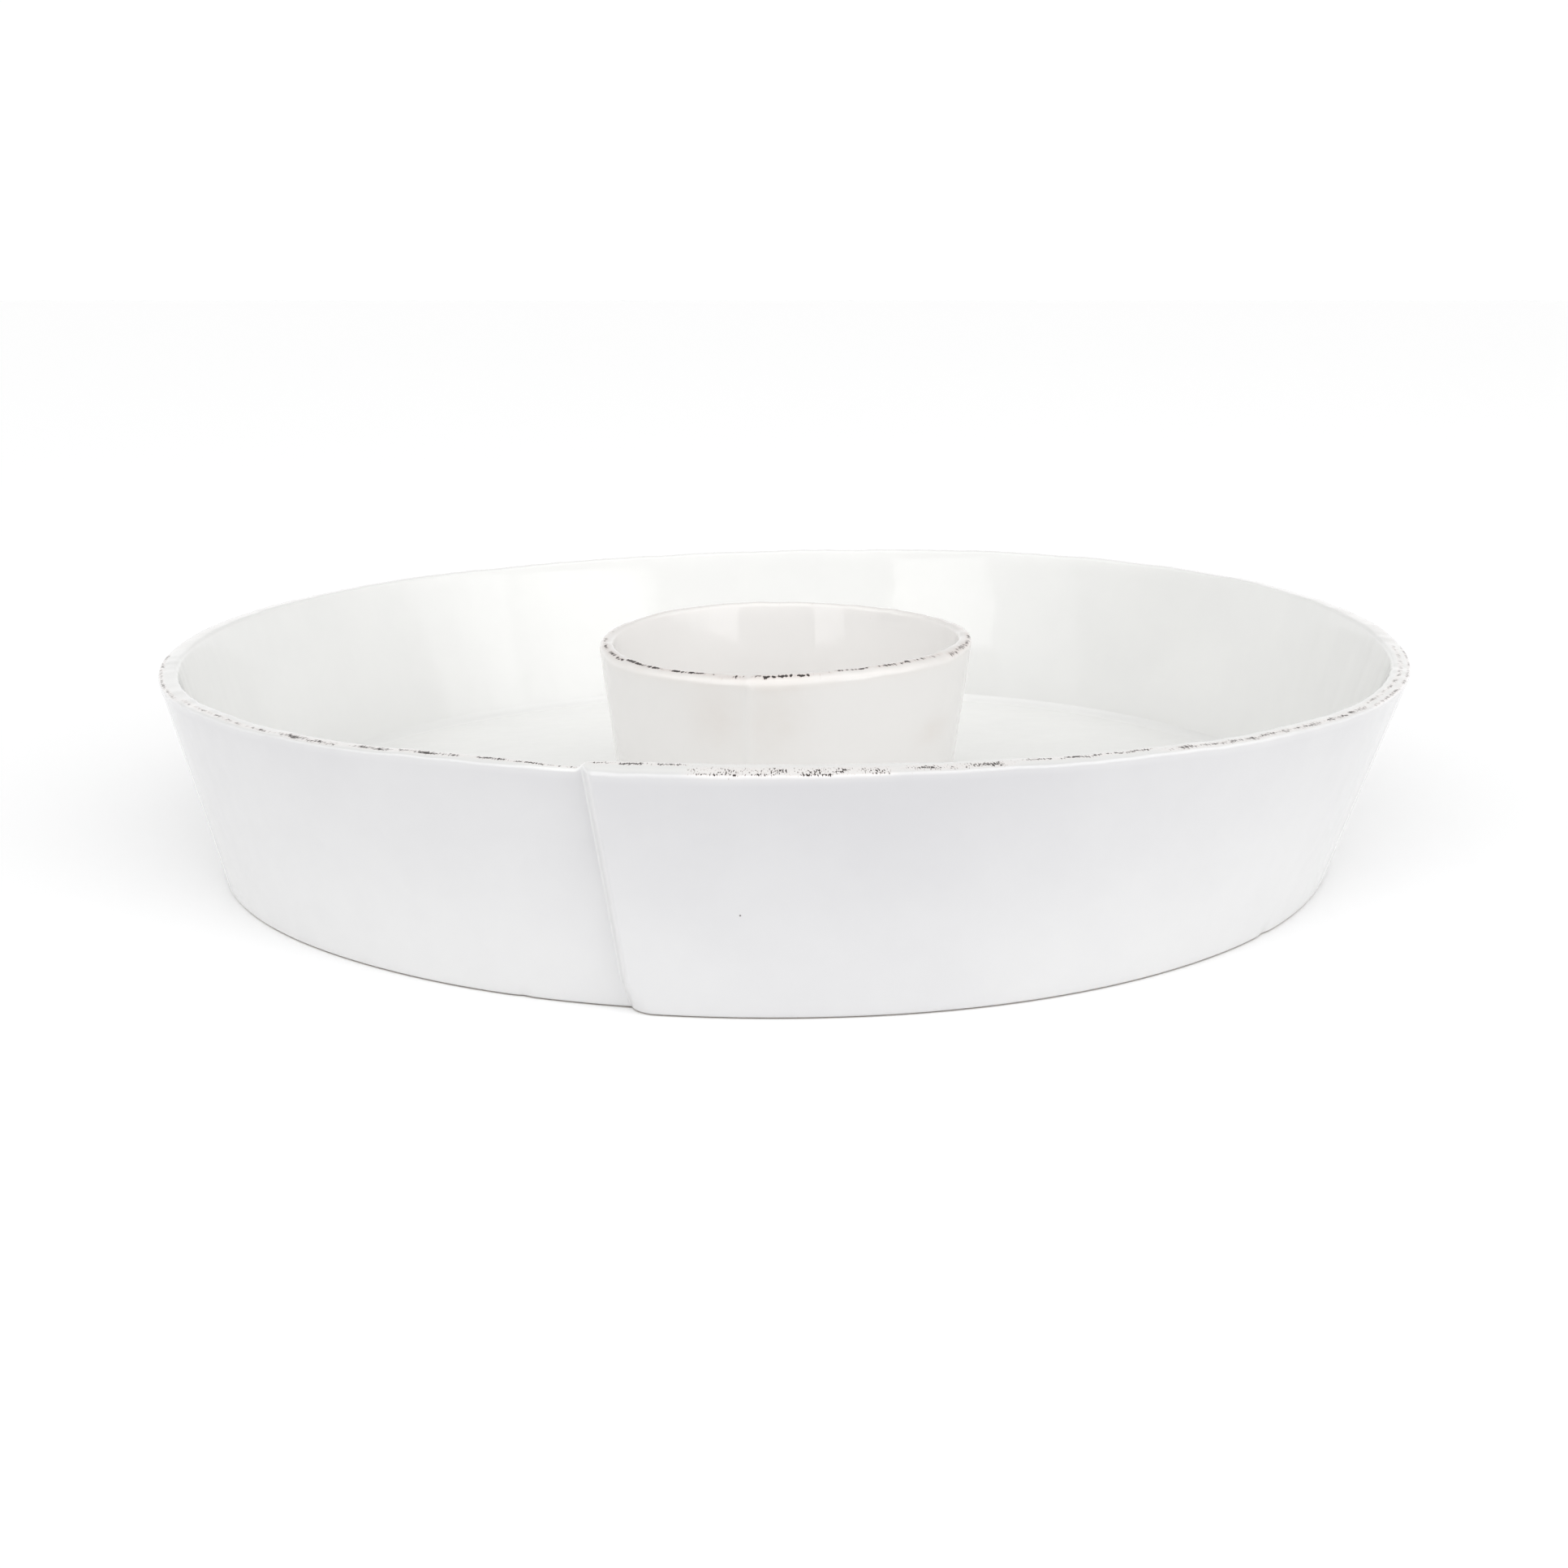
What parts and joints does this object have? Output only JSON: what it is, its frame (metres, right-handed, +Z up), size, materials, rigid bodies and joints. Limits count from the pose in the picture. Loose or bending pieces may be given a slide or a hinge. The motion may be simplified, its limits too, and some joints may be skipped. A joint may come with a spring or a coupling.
{
  "type": "chip and dip server",
  "caption": "Round slab-built stoneware serving tray with a flared wall, a lapped seam and a loose flared dip bowl standing in the middle.",
  "frame": {"origin": "on the table, at the middle of the tray's underside", "axes": "+Z up; -Y is the front, where the seams are; +X to the right of someone who faces the front"},
  "size_m": [0.3465, 0.35, 0.0603],
  "materials": {
    "tray_glaze": "glossy clear white glaze over pale speckled stoneware, breaking to dark brown flecks along the rim",
    "dip_bowl_glaze": "glossy warm white glaze with a faint blush, breaking to dark brown strokes along the rim"
  },
  "bodies": {
    "tray": {"tray_wall": "tray_glaze", "tray_base": "tray_glaze"},
    "dip_bowl": {"dip_bowl_wall": "dip_bowl_glaze", "dip_bowl_base": "dip_bowl_glaze"}
  },
  "joints": [
    {"name": "dip_bowl_lift", "type": "slide", "parent": "tray", "child": "dip_bowl", "axis": [0, 0, 1], "range_m": [0, 0.08]}
  ]
}
